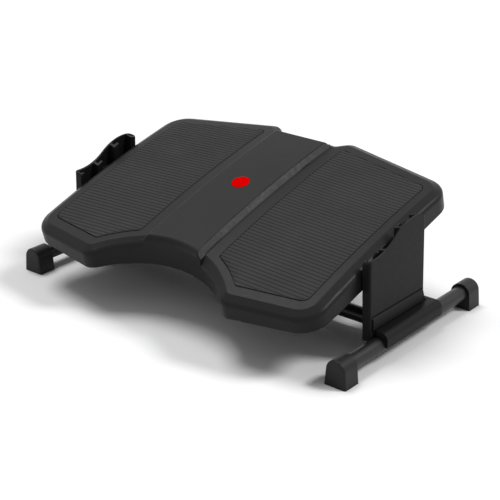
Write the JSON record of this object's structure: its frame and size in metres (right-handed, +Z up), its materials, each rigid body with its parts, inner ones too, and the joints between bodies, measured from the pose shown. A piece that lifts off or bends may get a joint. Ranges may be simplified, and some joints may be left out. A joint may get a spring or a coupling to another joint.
{
  "type": "tilting under desk footrest",
  "caption": "Low footrest: a wide tilting platform with two ribbed mats and a red button, carried between slotted side brackets on a tube base.",
  "frame": {"origin": "On the floor, under the middle of the whole footrest.", "axes": "+X runs across the footrest to the user's right, +Y away from the user towards the back, +Z up. The mirror plane is X = 0."},
  "size_m": [0.54, 0.3372, 0.1813],
  "materials": {
    "coated_steel": "semi-gloss black coating on steel tube",
    "moulded_plastic": "fine matte moulded plastic, charcoal",
    "mat_rubber": "matte ribbed rubber, charcoal",
    "red_plastic": "smooth plastic, red",
    "plain_steel": "plain steel",
    "friction_lining": "dense friction lining"
  },
  "bodies": {
    "base": {"base_tube_left": "coated_steel", "base_tube_right": "coated_steel", "cross_tube": "coated_steel", "foot_front_left": "moulded_plastic", "foot_front_right": "moulded_plastic", "foot_back_left": "moulded_plastic", "foot_back_right": "moulded_plastic", "side_bracket_left": "moulded_plastic", "side_bracket_right": "moulded_plastic", "bracket_screws": "plain_steel"},
    "carriage": {"pivot_shaft": "plain_steel", "slider_left": "moulded_plastic", "slider_right": "moulded_plastic", "slider_pins": "plain_steel", "brake_collar": "plain_steel", "collar_screw": "plain_steel"},
    "platform": {"platform_shell": "moulded_plastic", "mat_left": "mat_rubber", "mat_right": "mat_rubber", "pivot_bush_left": "moulded_plastic", "pivot_bush_right": "moulded_plastic"},
    "button": {"tilt_button": "red_plastic", "button_spring": "plain_steel", "brake_yoke": "plain_steel", "brake_pad": "friction_lining", "yoke_screw": "plain_steel"}
  },
  "joints": [
    {"name": "platform_lift", "type": "slide", "parent": "base", "child": "carriage", "axis": [0, 0, 1], "range_m": [0, 0.045]},
    {"name": "platform_tilt", "type": "hinge", "parent": "carriage", "child": "platform", "pos_m": [0, -0.00745, 0.11305], "axis": [1, 0, 0], "range_deg": [-15, 12]},
    {"name": "button_press", "type": "slide", "parent": "platform", "child": "button", "axis": [0, 0.2639, -0.9646], "range_m": [0, 0.0025], "stiffness_N_per_m": 1500, "springref_m": -0.002, "deforming": ["button_spring"]}
  ]
}
